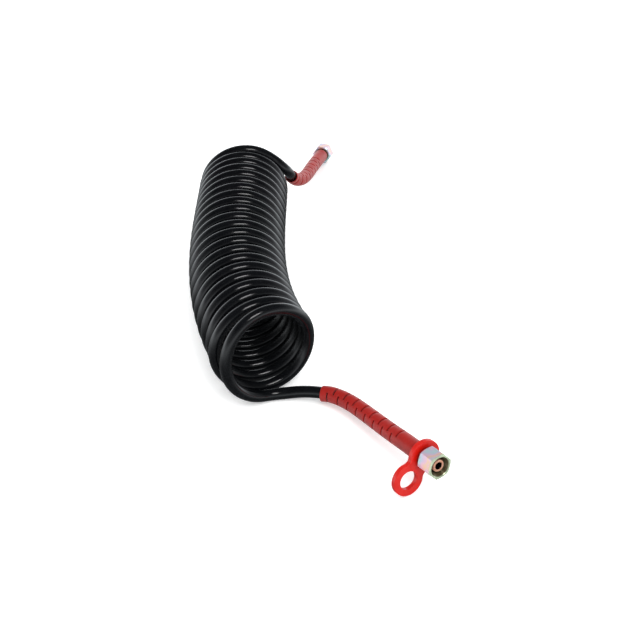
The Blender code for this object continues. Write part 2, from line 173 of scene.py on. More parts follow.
def spline_through(knots, steps):
    """A natural cubic spline through the knots, with steps points in each gap."""
    knots = np.array(knots)
    gaps = np.linalg.norm(np.diff(knots, axis=0), axis=1)
    count = len(knots)
    system = np.zeros((count, count))
    right = np.zeros((count, 3))
    system[0, :2] = system[-1, -2:] = (2, 1)
    system[-1, -2:] = (1, 2)
    right[0] = 3 * (knots[1] - knots[0]) / gaps[0]
    right[-1] = 3 * (knots[-1] - knots[-2]) / gaps[-1]
    for i in range(1, count - 1):
        before, after = gaps[i - 1], gaps[i]
        system[i, i - 1:i + 2] = after, 2 * (before + after), before
        right[i] = 3 * (after * (knots[i] - knots[i - 1]) / before
                        + before * (knots[i + 1] - knots[i]) / after)
    slopes = np.linalg.solve(system, right)
    t = (np.arange(steps) / steps)[:, None]
    spans = []
    for i in range(count - 1):
        spans.append(knots[i] * (1 + 2 * t) * (1 - t) ** 2 + slopes[i] * gaps[i] * t * (1 - t) ** 2
                     + knots[i + 1] * t * t * (3 - 2 * t) + slopes[i + 1] * gaps[i] * t * t * (t - 1))
    return np.vstack(spans + [knots[-1:]])


def lengths_along(points):
    return np.concatenate([[0], np.cumsum(np.linalg.norm(np.diff(points, axis=0), axis=1))])


class Line:
    """A dense polyline that can be read at any length along it, with a frame that doesn't twist."""

    def __init__(self, points, first_across):
        self.points = points
        self.along = lengths_along(points)
        self.length = self.along[-1]
        tangents = np.gradient(points, self.along, axis=0)
        self.tangents = tangents / np.linalg.norm(tangents, axis=1)[:, None]
        across = np.array(first_across, float)
        rows = []
        for tangent in self.tangents:
            across = across - tangent * (across @ tangent)
            across = across / np.linalg.norm(across)
            rows.append(across)
        self.across = np.array(rows)

    def read(self, table, lengths):
        """The rows of a table, one row for each of the line's points, at the given lengths."""
        return np.stack([np.interp(lengths, self.along, table[:, k]) for k in range(3)], axis=1)

    def frames(self, lengths):
        """Centres, and two unit vectors across the line, at each length."""
        centres = self.read(self.points, lengths)
        tangents = self.read(self.tangents, lengths)
        tangents /= np.linalg.norm(tangents, axis=1)[:, None]
        across = self.read(self.across, lengths)
        across -= tangents * (across * tangents).sum(1)[:, None]
        across /= np.linalg.norm(across, axis=1)[:, None]
        return centres, across, np.cross(tangents, across)


near = Fitting("near_nut_spin")
far = Fitting("far_nut_spin")
KNOTS_A_TURN = 16


def hose_line():
    """The centreline from sleeve front to sleeve front, and its lengths where the coil begins and ends."""
    ends = (SLEEVE_FRONT, (SLEEVE_FRONT + STRAIGHT_END) / 2, STRAIGHT_END)
    lead_in = [near.at(s) for s in ends]
    lead_in += [np.array(p) * MM - PLAN_CENTRE for p in reversed(NEAR_ROUTE)]
    turns = np.linspace(0, LAST_TURN, round(LAST_TURN * KNOTS_A_TURN) + 1)
    coil = [coil_point(t) - PLAN_CENTRE for t in turns]
    lead_out = [np.array(p) * MM - PLAN_CENTRE for p in FAR_ROUTE]
    lead_out += [far.at(s) for s in reversed(ends)]
    steps = 12
    points = spline_through(lead_in + coil + lead_out, steps)
    first = len(lead_in) * steps
    last = (len(lead_in) + len(coil) - 1) * steps
    line = Line(points, near.across)
    return line, line.along[first], line.along[last]


LINE, COIL_BEGINS, COIL_ENDS = hose_line()
BACK_LINE = Line(LINE.points[::-1], far.across)


# --- mesh helpers ----------------------------------------------------------------------------------
def new_object(name, mesh, matrix=None):
    """An object of the mesh, whose points are first moved by the matrix."""
    piece = bpy.data.objects.new(name, mesh)
    bpy.context.scene.collection.objects.link(piece)
    if matrix is not None:
        mesh.transform(matrix)
    return piece


def mesh_from(name, points, faces, smooth_angle=40):
    """A closed mesh, shaded smooth up to an angle in degrees, whose faces look outwards."""
    mesh = bpy.data.meshes.new(name)
    mesh.from_pydata([tuple(p) for p in points], [], faces)
    mesh.validate()
    mesh.update()
    smooth(mesh, smooth_angle)
    with reworked(mesh) as work:
        bmesh.ops.recalc_face_normals(work, faces=work.faces)
    return mesh


def smooth(mesh, angle):
    """Shades smooth across edges up to an angle in degrees."""
    mesh.shade_smooth()
    mesh.set_sharp_from_angle(angle=radians(angle))


@contextmanager
def reworked(mesh):
    """The mesh as a bmesh, which is written back afterwards."""
    work = bmesh.new()
    work.from_mesh(mesh)
    yield work
    work.to_mesh(mesh)
    work.free()


def bridge(one, two, sides):
    """Quads between two rings of points, given by their numbers."""
    a, b = one * sides, two * sides
    return [(a + j, a + (j + 1) % sides, b + (j + 1) % sides, b + j) for j in range(sides)]


def cap(ring, sides):
    """The face that closes a ring, given by its number."""
    return tuple(ring * sides + j for j in range(sides))


def ring_faces(rings, sides):
    """Quads between successive rings of points."""
    return [face for ring in range(rings - 1) for face in bridge(ring, ring + 1, sides)]


def rings_around(frames, radii, sides):
    """A ring of points around each centre of some line frames, at that centre's radius."""
    centres, across, up = (rows[:, None] for rows in frames)
    angles = (2 * pi * np.arange(sides) / sides)[None, :, None]
    return centres + (np.cos(angles) * across + np.sin(angles) * up) * np.reshape(radii, (-1, 1, 1))


def circle(radius, sides, z):
    """The corners of a circle about Z."""
    angles = 2 * pi * np.arange(sides) / sides
    return [(radius * cos(a), radius * sin(a), z) for a in angles]


def turned_mesh(name, outline, sides, smooth_angle=40, capped=False):
    """An outline of (radius, height) points turned about Z: a closed one, or an open one and caps."""
    points = [point for radius, z in outline for point in circle(radius, sides, z)]
    last = len(outline) - 1
    ends = [cap(0, sides), cap(last, sides)] if capped else bridge(last, 0, sides)
    return mesh_from(name, points, ring_faces(len(outline), sides) + ends, smooth_angle)


def rounded(outline, radius, steps=3):
    """The closed outline with each corner cut back by up to radius and rounded."""
    side_share = 0.45                 # of a side, the most that one corner may cut back
    made = []
    count = len(outline)
    for i in range(count):
        p = np.array(outline[i])
        before, after = np.array(outline[i - 1]), np.array(outline[(i + 1) % count])
        back, ahead = before - p, after - p
        cut = min(radius, side_share * np.linalg.norm(back), side_share * np.linalg.norm(ahead))
        a = p + back / np.linalg.norm(back) * cut
        b = p + ahead / np.linalg.norm(ahead) * cut
        for k in range(steps + 1):
            t = k / steps
            made.append(tuple((1 - t) ** 2 * a + 2 * t * (1 - t) * p + t * t * b))
    return made


def apply_modifiers(piece):
    """Replaces the piece's mesh by what its modifiers make of it."""
    bpy.context.view_layer.update()
    evaluated = piece.evaluated_get(bpy.context.evaluated_depsgraph_get())
    mesh = bpy.data.meshes.new_from_object(evaluated)
    piece.modifiers.clear()
    piece.data = mesh


def boolean(piece, tool_mesh, operation):
    """Cuts the piece by a mesh, or keeps what the two share."""
    tool = new_object("tool", tool_mesh)
    step = piece.modifiers.new(operation, "BOOLEAN")
    step.operation = operation
    step.solver = "EXACT"
    step.object = tool
    apply_modifiers(piece)
    bpy.data.objects.remove(tool)


def soften_edges(piece, width, segments, angle):
    """Bevels every edge that is sharper than an angle in degrees."""
    bevel = piece.modifiers.new("edges", "BEVEL")
    bevel.width = width
    bevel.segments = segments
    bevel.limit_method = "ANGLE"
    bevel.angle_limit = radians(angle)
    bevel.harden_normals = False
    apply_modifiers(piece)


def place_piece(piece, body, node, material):
    """Says what the piece rides on, which CAD node it stands for and what it is made of."""
    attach(piece, body)
    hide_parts(node)
    piece.data.materials.clear()
    piece.data.materials.append(material)


# --- the tube --------------------------------------------------------------------------------------
TUBE_SIDES = 24
TUBE_RING_STEP = 4.5 * MM
BORE_DEPTH = 27 * MM                  # the blind bore in which each barbed tail sits
# a turn's share of the coil's stretch rises from nothing over the near turns, which almost touch, and
# falls to nothing over the last half turn
NEAR_EASE_TURNS = 4
FAR_EASE_TURNS = 0.5


def make_hose():
    """One tube from fitting to fitting, hollow over the barbs at both ends."""
    trim = SLEEVE_FRONT - TUBE_END
    first, last = trim, LINE.length - trim
    outside = np.linspace(first, last, round((last - first) / TUBE_RING_STEP) + 1)
    inside = np.array([first + BORE_DEPTH, first, last, last - BORE_DEPTH])
    lengths = np.concatenate([inside[:2], outside, inside[2:]])
    radii = np.full(len(lengths), TUBE_R)
    radii[:2] = radii[-2:] = TUBE_BORE_R
    points = rings_around(LINE.frames(lengths), radii, TUBE_SIDES).reshape(-1, 3)
    ends = [cap(0, TUBE_SIDES), cap(len(lengths) - 1, TUBE_SIDES)]
    mesh = mesh_from("air_hose_tube", points, ring_faces(len(lengths), TUBE_SIDES) + ends)
    hose = new_object("air_hose_tube", mesh)
    hose.data.materials.append(tube_material())
    share_stretch(hose)
    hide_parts("coil_body", "near_lead_tube", "far_lead_tube")
    return hose, LINE.frames(outside)[0], last - first


def share_stretch(hose):
    """Bakes the hose's placement into its mesh and works out each turn's share of the coil's stretch, but
    gives it to no point.
    """
    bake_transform(hose)
    samples = 2000
    turns = np.linspace(0, LAST_TURN, samples)
    rate = np.clip(turns / NEAR_EASE_TURNS, 0, 1) ** 2
    rate *= np.clip((LAST_TURN - turns) / FAR_EASE_TURNS, 0, 1)


# --- anti-kink sleeves -----------------------------------------------------------------------------
SLEEVE_LENGTH = 153.5 * MM
SLEEVE_COLLAR = 30 * MM               # length of the plain, even collar at the fitting
SLEEVE_COLLAR_R = 8.6 * MM
SLEEVE_END_R = 8.05 * MM
SLEEVE_RIM_R = 0.7 * MM               # rounding of both rims
SLEEVE_BORE_R = 6.35 * MM
SLEEVE_FERRULE_BORE_R = 7.5 * MM
SLEEVE_FERRULE_DEPTH = 24 * MM
SLEEVE_FLARE = 9 * MM                 # over this length the bore opens out at the free end
SLEEVE_FLARE_R = 7.6 * MM
SLEEVE_SAG = 0.8                      # share of the room in the flare by which the free end hangs down
SLEEVE_RING_STEP = 2.4 * MM
SLEEVE_SIDES = 48
SLIT_WIDTH = 1.8 * MM
SLIT_PITCH = 14.2 * MM
SLIT_EDGE = 0.22 * MM
SLITS_A_ROW = 8
LOWER_ROW = 8.7 * MM                  # middle of each row's first slit, from the free end
UPPER_ROW = 15.9 * MM
SLIT_SEAM = 29                        # side where the two rows' ends meet, of SLEEVE_SIDES
SLIT_SPAN = 23                        # sides that one slit runs over


def outer_radius(h):
    """Outside radius of a sleeve at a height: 0 at the fitting, SLEEVE_LENGTH at the free end."""
    share = np.clip((h - SLEEVE_COLLAR) / (SLEEVE_LENGTH - SLEEVE_COLLAR), 0, 1)
    radius = SLEEVE_COLLAR_R + (SLEEVE_END_R - SLEEVE_COLLAR_R) * share
    for from_rim in (h, SLEEVE_LENGTH - h):
        if from_rim < SLEEVE_RIM_R:
            radius -= SLEEVE_RIM_R - (SLEEVE_RIM_R ** 2 - (SLEEVE_RIM_R - from_rim) ** 2) ** 0.5
    return radius


def bore_radius(h):
    """Inside radius: wide over the ferrule, snug on the tube, flared at the free end."""
    if h < SLEEVE_FERRULE_DEPTH:
        return SLEEVE_FERRULE_BORE_R
    flare = max(0.0, 1 - (SLEEVE_LENGTH - h) / SLEEVE_FLARE)
    return SLEEVE_BORE_R + (SLEEVE_FLARE_R - SLEEVE_BORE_R) * flare


def slits():
    """(low height, high height, first side) of every slit."""
    made = []
    for first, start in ((LOWER_ROW, SLIT_SEAM - SLIT_SPAN + 1), (UPPER_ROW, SLIT_SEAM)):
        for k in range(SLITS_A_ROW):
            middle = SLEEVE_LENGTH - first - k * SLIT_PITCH
            made.append((middle - SLIT_WIDTH / 2, middle + SLIT_WIDTH / 2, start))
    return made


def sleeve_heights(cuts):
    """Heights of the rings: both edges of each slit, the rounded rims, and even steps between."""
    rim = [0, SLEEVE_RIM_R / 7, SLEEVE_RIM_R * 3 / 7, SLEEVE_RIM_R]
    marks = set(rim) | {SLEEVE_LENGTH - r for r in rim} | {SLEEVE_FERRULE_DEPTH, SLEEVE_COLLAR}
    for low, high, _ in cuts:
        marks |= {low, high}
    marks = sorted(marks)
    heights = []
    for low, high in zip(marks, marks[1:]):
        parts = max(1, round((high - low) / SLEEVE_RING_STEP))
        heights += [low + (high - low) * k / parts for k in range(parts)]
    return heights + [marks[-1]]


def solid_cells(heights, cuts):
    """Which cells of the wall aren't cut away, as a table by gap between rings and by side."""
    def is_cut(height, side):
        return any(low < height < high and (side - start) % SLEEVE_SIDES < SLIT_SPAN
                   for low, high, start in cuts)
    middles = [(low + high) / 2 for low, high in zip(heights, heights[1:])]
    return [[not is_cut(middle, side) for side in range(SLEEVE_SIDES)] for middle in middles]


def wall_faces(solid):
    """Outer and inner faces of each solid cell, and its side faces where the next cell is cut away."""
    gaps, sides = len(solid), SLEEVE_SIDES

    def outer(i, j):
        return i * sides + j % sides

    def inner(i, j):
        return outer(gaps + 1 + i, j)

    faces = []
    for i, j in ((i, j) for i in range(gaps) for j in range(sides) if solid[i][j]):
        corners = [(i, j), (i, j + 1), (i + 1, j + 1), (i + 1, j)]
        faces.append([outer(*corner) for corner in corners])
        faces.append([inner(*corner) for corner in reversed(corners)])
        neighbours = [(i - 1, j), (i, j + 1), (i + 1, j), (i, j - 1)]
        for (gap, side), a, b in zip(neighbours, corners, corners[1:] + corners[:1]):
            if not 0 <= gap < gaps or not solid[gap][side % sides]:
                faces.append([outer(*b), outer(*a), inner(*a), inner(*b)])
    return faces


def make_sleeve(name, line):
    """A hollow sleeve bent along the hose, with slits cut right through its wall."""
    cuts = slits()
    heights = np.array(sleeve_heights(cuts))
    bores = np.array([bore_radius(h) for h in heights])
    centres, across, up = line.frames(heights)
    room = np.where(heights > SLEEVE_COLLAR, bores - SLEEVE_BORE_R, 0)
    frames = (centres - SLEEVE_SAG * room[:, None] * UP, across, up)
    outside = rings_around(frames, [outer_radius(h) for h in heights], SLEEVE_SIDES)
    inside = rings_around(frames, bores, SLEEVE_SIDES)
    points = np.concatenate([outside, inside]).reshape(-1, 3)
    mesh = mesh_from(name, points, wall_faces(solid_cells(heights, cuts)), 50)
    with reworked(mesh) as work:
        loose = [v for v in work.verts if not v.link_faces]
        bmesh.ops.delete(work, geom=loose, context="VERTS")
    piece = new_object(name, mesh)
    soften_edges(piece, SLIT_EDGE, 2, 50)
    smooth(piece.data, 55)
    return piece


# --- union nuts ------------------------------------------------------------------------------------
NUT_FLATS = 22 * MM
NUT_CORNER_R = NUT_FLATS / 2 / cos(pi / 6)
NUT_LENGTH = 18 * MM
NUT_FACE_R = 10.6 * MM                # of the flat of both end faces, inside the chamfer
NUT_CHAMFER = radians(30)
NUT_EDGE = 0.35 * MM
NUT_FACE_EDGE = 0.3 * MM              # radius of the rim round an end face, and depth of the face
NUT_MOUTH_R = 10.0 * MM
NUT_REAR_R = 5.6 * MM
THREAD_CREST_R = 8.15 * MM            # M18 x 1.5
THREAD_ROOT_R = 9.0 * MM
THREAD_PITCH = 1.5 * MM
THREAD_END = -12.7 * MM
THREAD_FLAT = 0.15                    # share of its depth that the wave is cut off by at both sides
THREAD_SIDES = 72
THREAD_STEPS = 10                     # rings in each pitch
BLANK_SIDES = 96
TOOL_MARGIN = 1 * MM                  # by which a cutting tool is larger than the nut
NEAR_NUT_CORNER = radians(10)
FAR_NUT_CORNER = radians(4)


def thread_radius(z, angle):
    """The nut's inside radius: thread, chamfer at the mouth, and run-out at the thread's end."""
    phase = (z / THREAD_PITCH + angle / (2 * pi)) % 1.0
    flank = abs(phase - 0.5) * 2
    wave = np.clip(flank * (1 + 2 * THREAD_FLAT) - THREAD_FLAT, 0, 1)
    radius = THREAD_CREST_R + (THREAD_ROOT_R - THREAD_CREST_R) * wave
    radius = max(radius, NUT_MOUTH_R + z)
    run_out = np.clip((z - THREAD_END) / THREAD_PITCH, 0, 1)
    return THREAD_CREST_R + (radius - THREAD_CREST_R) * run_out


def threaded_bore():
    """The tool that cuts a nut's inside: mouth chamfer, thread, shoulder and rear bore."""
    steps = round((THREAD_PITCH - THREAD_END) / THREAD_PITCH * THREAD_STEPS)
    points = []
    for z in np.linspace(THREAD_PITCH, THREAD_END, steps + 1):
        for angle in 2 * pi * np.arange(THREAD_SIDES) / THREAD_SIDES:
            radius = thread_radius(z, angle)
            points.append((radius * cos(angle), radius * sin(angle), z))
    points += circle(NUT_REAR_R, THREAD_SIDES, THREAD_END - (THREAD_CREST_R - NUT_REAR_R))
    points += circle(NUT_REAR_R, THREAD_SIDES, -NUT_LENGTH - TOOL_MARGIN)
    rings = len(points) // THREAD_SIDES
    ends = [cap(0, THREAD_SIDES), cap(rings - 1, THREAD_SIDES)]
    return mesh_from("bore", points, ring_faces(rings, THREAD_SIDES) + ends, 60)


def chamfered_blank():
    """What the hexagon's corners are turned down to. Each end face lies a little inside a round rim."""
    wide = NUT_CORNER_R + TOOL_MARGIN
    drop = (wide - NUT_FACE_R) * tan(NUT_CHAMFER)
    outline = [(NUT_FACE_R, 0), (wide, -drop), (wide, drop - NUT_LENGTH), (NUT_FACE_R, -NUT_LENGTH)]
    return turned_mesh("blank", rounded(outline, NUT_FACE_EDGE), BLANK_SIDES, capped=True)


def hexagon(name):
    """A piece of hexagon bar behind the nut's front face."""
    mesh = bpy.data.meshes.new(name)
    place = Matrix.Translation((0, 0, -NUT_LENGTH / 2)) @ Matrix.Rotation(pi / 6, 4, "Z")
    with reworked(mesh) as work:
        bmesh.ops.create_cone(work, cap_ends=True, segments=6, radius1=NUT_CORNER_R,
                              radius2=NUT_CORNER_R, depth=NUT_LENGTH, matrix=place)
    return mesh


def make_nut(name, fitting, corner):
    """A chamfered hexagon with softened edges and a real thread inside."""
    piece = new_object(name, hexagon(name))
    soften_edges(piece, NUT_EDGE, 3, 30)
    boolean(piece, chamfered_blank(), "INTERSECT")
    boolean(piece, threaded_bore(), "DIFFERENCE")
    piece.data.transform(fitting.matrix(spin=corner))
    smooth(piece.data, 24)
    normals = piece.modifiers.new("normals", "WEIGHTED_NORMAL")
    normals.keep_sharp = True
    apply_modifiers(piece)
    return piece


# --- nipples, ferrules and O-rings -----------------------------------------------------------------
TURNED_SIDES = 64
HEAD_FRONT = -2.7 * MM
HEAD_R = 7.6 * MM
HEAD_SHOULDER = -12.1 * MM
HEAD_RIM = 0.4 * MM                   # length of the head's straight rim, behind its cone
CONE_TIP_R = 5.6 * MM
CONE_HALF_ANGLE = radians(12)
NECK_R = 5.0 * MM
NIPPLE_BORE_R = 3.5 * MM
NIPPLE_EDGE = 0.35 * MM
COLLAR_R = 7.0 * MM
COLLAR_FRONT = -18.6 * MM
COLLAR_REAR = -23.3 * MM
BARB_R = 4.5 * MM
BARB_ROOT_R = 4.05 * MM
BARB_STEP = 0.3 * MM
BARB_PITCH = 7.0 * MM
BARBS = 3
TAIL_TIP_R = 3.65 * MM
GROOVE_FRONT = -6.0 * MM
GROOVE_REAR = -8.0 * MM
GROOVE_R = 5.15 * MM
O_RING_R = 0.75 * MM
O_RING_ROOM = 0.15 * MM               # between the O-ring and its groove's floor
O_RING_SIDES = 16
FERRULE_FRONT = TUBE_END
FERRULE_LENGTH = 20 * MM
FERRULE_IN_R = 6.35 * MM
FERRULE_OUT_R = 7.2 * MM
FERRULE_EDGE = 0.25 * MM
FERRULE_STEPS = 12
CRIMPS = 8
CRIMP_DEPTH = 0.35 * MM
CRIMP_REACH = 7.2 * MM                # to each side of the ferrule's middle


def make_nipple(name, fitting):
    """The turned nipple: coned head with a groove, neck, collar and barbed tail, bored through."""
    def cone(z):
        return CONE_TIP_R + (HEAD_FRONT - z) * tan(CONE_HALF_ANGLE), z

    rim = HEAD_SHOULDER - HEAD_RIM
    outline = [cone(HEAD_FRONT), cone(GROOVE_FRONT), (GROOVE_R, GROOVE_FRONT), (GROOVE_R, GROOVE_REAR),
               cone(GROOVE_REAR), (HEAD_R, HEAD_SHOULDER), (HEAD_R, rim), (NECK_R, rim - HEAD_R + NECK_R),
               (NECK_R, COLLAR_FRONT), (COLLAR_R, COLLAR_FRONT), (COLLAR_R, COLLAR_REAR)]
    for barb in range(BARBS):
        top = COLLAR_REAR - barb * BARB_PITCH
        outline += [(BARB_ROOT_R, top), (BARB_R, top - (BARB_STEP if barb else BARB_PITCH / 2))]
    tail = COLLAR_REAR - BARBS * BARB_PITCH
    outline += [(TAIL_TIP_R, tail), (NIPPLE_BORE_R, tail), (NIPPLE_BORE_R, HEAD_FRONT)]
    mesh = turned_mesh(name, rounded(outline, NIPPLE_EDGE), TURNED_SIDES, 35)
    return new_object(name, mesh, fitting.matrix())


def make_ferrule(name, fitting):
    """The ferrule, with its ring of crimp dents."""
    top, foot = FERRULE_FRONT, FERRULE_FRONT - FERRULE_LENGTH
    outline = [(FERRULE_OUT_R, top - FERRULE_LENGTH * k / FERRULE_STEPS) for k in range(FERRULE_STEPS)]
    outline += [(FERRULE_OUT_R, foot), (FERRULE_IN_R, foot), (FERRULE_IN_R, top)]
    mesh = turned_mesh(name, rounded(outline, FERRULE_EDGE, 2), TURNED_SIDES)
    crimp(mesh, (top + foot) / 2)
    return new_object(name, mesh, fitting.matrix())


def crimp(mesh, middle):
    """Presses a ring of dents into the outside of a mesh that is turned about Z."""
    for v in mesh.vertices:
        radius = (v.co.x ** 2 + v.co.y ** 2) ** 0.5
        if radius > (FERRULE_IN_R + FERRULE_OUT_R) / 2:
            lengthwise = max(0.0, 1 - abs(v.co.z - middle) / CRIMP_REACH) ** 0.5
            around = max(0.0, cos(CRIMPS * atan2(v.co.y, v.co.x))) ** 2
            scale = 1 - CRIMP_DEPTH * lengthwise * around / radius
            v.co.x *= scale
            v.co.y *= scale


def make_o_ring(name, fitting):
    """The seal in the groove of the nipple's cone."""
    middle = (GROOVE_FRONT + GROOVE_REAR) / 2
    ring_r = GROOVE_R + O_RING_R + O_RING_ROOM
    outline = [(ring_r + x, middle - y) for x, y, _ in circle(O_RING_R, O_RING_SIDES, 0)]
    return new_object(name, turned_mesh(name, outline, TURNED_SIDES), fitting.matrix())


# --- tag ring --------------------------------------------------------------------------------------
RING_OUT_R = 15.5 * MM
RING_HOLE_R = 9.0 * MM
RING_SPACING = 26 * MM                # between the middles of the two eyes
RING_THICKNESS = 5 * MM
RING_FILLET_R = 5 * MM                # in the waist between the eyes
RING_EDGE_R = 0.4 * MM
RING_PLACE = -24.3 * MM
EYE_DIRECTION = radians(221.5)
EYE_STEPS = 48
FILLET_STEPS = 8
HOLE_SIDES = 64
WELD_DISTANCE = 0.01 * MM


def figure_eight():
    """The ring's outline and its two holes, drawn around the middle between the eyes."""
    half = RING_SPACING / 2
    reach = RING_OUT_R + RING_FILLET_R
    lift = (reach ** 2 - half ** 2) ** 0.5
    sweep = pi - atan2(lift, half)
    spread = pi / 2 - acos(half / reach)
    outline = []
    holes = []
    for side, heading in ((1, 0), (-1, pi)):
        for i in range(EYE_STEPS + 1):
            a = heading - sweep + 2 * sweep * i / EYE_STEPS
            outline.append((side * half + RING_OUT_R * cos(a), RING_OUT_R * sin(a)))
        for i in range(1, FILLET_STEPS):
            a = heading - pi / 2 + spread - 2 * spread * i / FILLET_STEPS
            outline.append((RING_FILLET_R * cos(a), side * lift + RING_FILLET_R * sin(a)))
        holes.append([(side * half + x, y) for x, y, _ in circle(RING_HOLE_R, HOLE_SIDES, 0)])
    return [outline] + holes


def make_tag_ring(name, fitting):
    """The moulded figure-eight ring, its edges rounded. Its first eye sits round the fitting's axis."""
    curve = bpy.data.curves.new(name, "CURVE")
    curve.dimensions = "2D"
    curve.fill_mode = "BOTH"
    curve.extrude = RING_THICKNESS / 2 - RING_EDGE_R
    curve.bevel_depth = RING_EDGE_R
    curve.bevel_resolution = 3
    curve.offset = -RING_EDGE_R
    for outline in figure_eight():
        spline = curve.splines.new("POLY")
        spline.points.add(len(outline) - 1)
        for spot, (x, y) in zip(spline.points, outline):
            spot.co = (x + RING_SPACING / 2, y, 0, 1)
        spline.use_cyclic_u = True
    flat = new_object(name + "_outline", curve)
    bpy.context.view_layer.update()
    mesh = bpy.data.meshes.new_from_object(flat.evaluated_get(bpy.context.evaluated_depsgraph_get()))
    bpy.data.objects.remove(flat)
    with reworked(mesh) as work:
        bmesh.ops.remove_doubles(work, verts=work.verts, dist=WELD_DISTANCE)
        bmesh.ops.recalc_face_normals(work, faces=work.faces)
    smooth(mesh, 35)
    return new_object(name, mesh, fitting.matrix(RING_PLACE, EYE_DIRECTION))


# --- materials -------------------------------------------------------------------------------------
def linear(red, green, blue):
    """Screen colour, 0 to 255, as the linear colour that a shader takes."""
    return tuple((c / 255) ** 2.2 for c in (red, green, blue)) + (1.0,)


def add_node(tree, kind, inputs, **settings):
    """A node with its settings, whose inputs are values or other nodes' outputs."""
    node = tree.nodes.new("ShaderNode" + kind)
    for setting, value in settings.items():
        setattr(node, setting, value)
    for socket, value in inputs.items():
        if isinstance(value, bpy.types.NodeSocket):
            tree.links.new(value, node.inputs[socket])
        else:
            node.inputs[socket].default_value = value
    return node


def colour_ramp(tree, value, stops):
    """A ramp's colour for a value: stops are (place, colour) or (place, grey)."""
    node = add_node(tree, "ValToRGB", {"Fac": value})
    elements = node.color_ramp.elements
    while len(elements) < len(stops):
        elements.new(0.5)
    for element, (where, colour) in zip(elements, stops):
        element.position = where
        element.color = colour if isinstance(colour, tuple) else (colour,) * 3 + (1.0,)
    return node.outputs["Color"]


MIX_FACTOR, MIX_ONE, MIX_TWO, MIX_RESULT = 0, 6, 7, 2     # the Mix node's sockets for colours
GRAIN_DEPTH = 0.2 * MM


class Shader:
    """A material's node tree, with short calls for the nodes used here."""

    def __init__(self, name, **values):
        self.material = bpy.data.materials.new(name)
        self.material.use_nodes = True
        self.tree = self.material.node_tree
        self.principled = self.tree.nodes["Principled BSDF"]
        for socket, value in values.items():
            self.principled.inputs[socket.replace("_", " ")].default_value = value
        self.place = add_node(self.tree, "TexCoord", {}).outputs["Object"]

    def feed(self, socket, output):
        """Gives an input of the surface another node's output."""
        self.tree.links.new(output, self.principled.inputs[socket])

    def noise(self, scale, detail, rough=0.5):
        inputs = {"Vector": self.place, "Scale": scale, "Detail": detail, "Roughness": rough}
        return add_node(self.tree, "TexNoise", inputs).outputs["Fac"]

    def mottle(self, scale, detail, *stops):
        """Colours or greys that wander with a noise."""
        return colour_ramp(self.tree, self.noise(scale, detail), stops)

    def grain(self, scale, detail, strength):
        """A fine unevenness of the surface."""
        inputs = {"Height": self.noise(scale, detail), "Strength": strength, "Distance": GRAIN_DEPTH}
        self.feed("Normal", add_node(self.tree, "Bump", inputs).outputs["Normal"])

    def mix(self, factor, one, two):
        """The first colour where the factor is 0, the second where it is 1."""
        inputs = {MIX_FACTOR: factor, MIX_ONE: one, MIX_TWO: two}
        return add_node(self.tree, "Mix", inputs, data_type="RGBA").outputs[MIX_RESULT]

    def math(self, operation, *values):
        """One sum on numbers or other nodes' outputs."""
        node = add_node(self.tree, "Math", dict(enumerate(values)), operation=operation)
        return node.outputs["Value"]

    def vector(self, operation, result, *values):
        """One sum on vectors, whose result is the node's "Value" or its "Vector"."""
        node = add_node(self.tree, "VectorMath", dict(enumerate(values)), operation=operation)
        return node.outputs[result]

    def along(self, start, end):
        """0 at the start point, rising evenly to 1 at the end point."""
        run = (end - start) / ((end - start) @ (end - start))
        reached = self.vector("DOT_PRODUCT", "Value", self.place, tuple(run))
        return self.math("SUBTRACT", reached, float(run @ start))

    def off_axis(self, fitting):
        """Distance from a fitting's axis."""
        offset = self.vector("SUBTRACT", "Vector", self.place, tuple(fitting.front))
        crossed = self.vector("CROSS_PRODUCT", "Vector", offset, tuple(fitting.axis))
        return self.vector("LENGTH", "Value", crossed)

    def rise(self, value, low, high):
        """0 below the low value, 1 above the high one, and even between."""
        inputs = {"Value": value, "From Min": low, "From Max": high}
        return add_node(self.tree, "MapRange", inputs).outputs["Result"]


def tube_material():
    """Extruded black polyamide: glossy, with a faint draw of the die and a little handling haze."""
    shader = Shader("black_polyamide", Metallic=0.0, IOR=1.53)
    shader.feed("Base Color", shader.mottle(90, 3, (0.3, linear(15, 16, 18)), (0.7, linear(20, 21, 23))))
    shader.feed("Roughness", shader.mottle(140, 4, (0.35, 0.12), (0.75, 0.2)))
    shader.grain(700, 2, 0.06)
    return shader.material


def sleeve_material():
    """Red elastomer with a fine moulded grain and slightly darker, duller patches."""
    shader = Shader("red_sleeve_elastomer", Metallic=0.0, IOR=1.45, Sheen_Weight=0.25, Sheen_Roughness=0.4)
    shader.feed("Base Color", shader.mottle(60, 4, (0.3, linear(142, 19, 11)), (0.72, linear(156, 24, 15))))
    shader.feed("Roughness", shader.mottle(160, 3, (0.3, 0.42), (0.7, 0.55)))
    shader.grain(2600, 3, 0.12)
    return shader.material


def tag_material():
    """Bright orange-red moulded plastic, softly glossy."""
    shader = Shader("orange_red_plastic", Metallic=0.0, IOR=1.5)
    shader.feed("Base Color", shader.mottle(50, 2, (0.3, linear(188, 23, 13)), (0.7, linear(196, 28, 17))))
    shader.feed("Roughness", shader.mottle(200, 3, (0.3, 0.28), (0.7, 0.38)))
    shader.grain(900, 2, 0.05)
    return shader.material


# the plating's tints, in their order along the nut and through its patches
NUT_TINTS = ((0.10, linear(186, 220, 222)), (0.30, linear(208, 204, 228)),
             (0.46, linear(240, 196, 212)), (0.58, linear(242, 208, 170)),
             (0.70, linear(236, 194, 214)), (0.90, linear(190, 218, 218)))
NUT_FACE_TINT = linear(206, 222, 190)
NUT_FACE_STARTS = (0.88, 0.97)        # shares of the length over which the front face's tint comes in
NUT_BORE_TINT = linear(92, 82, 58)


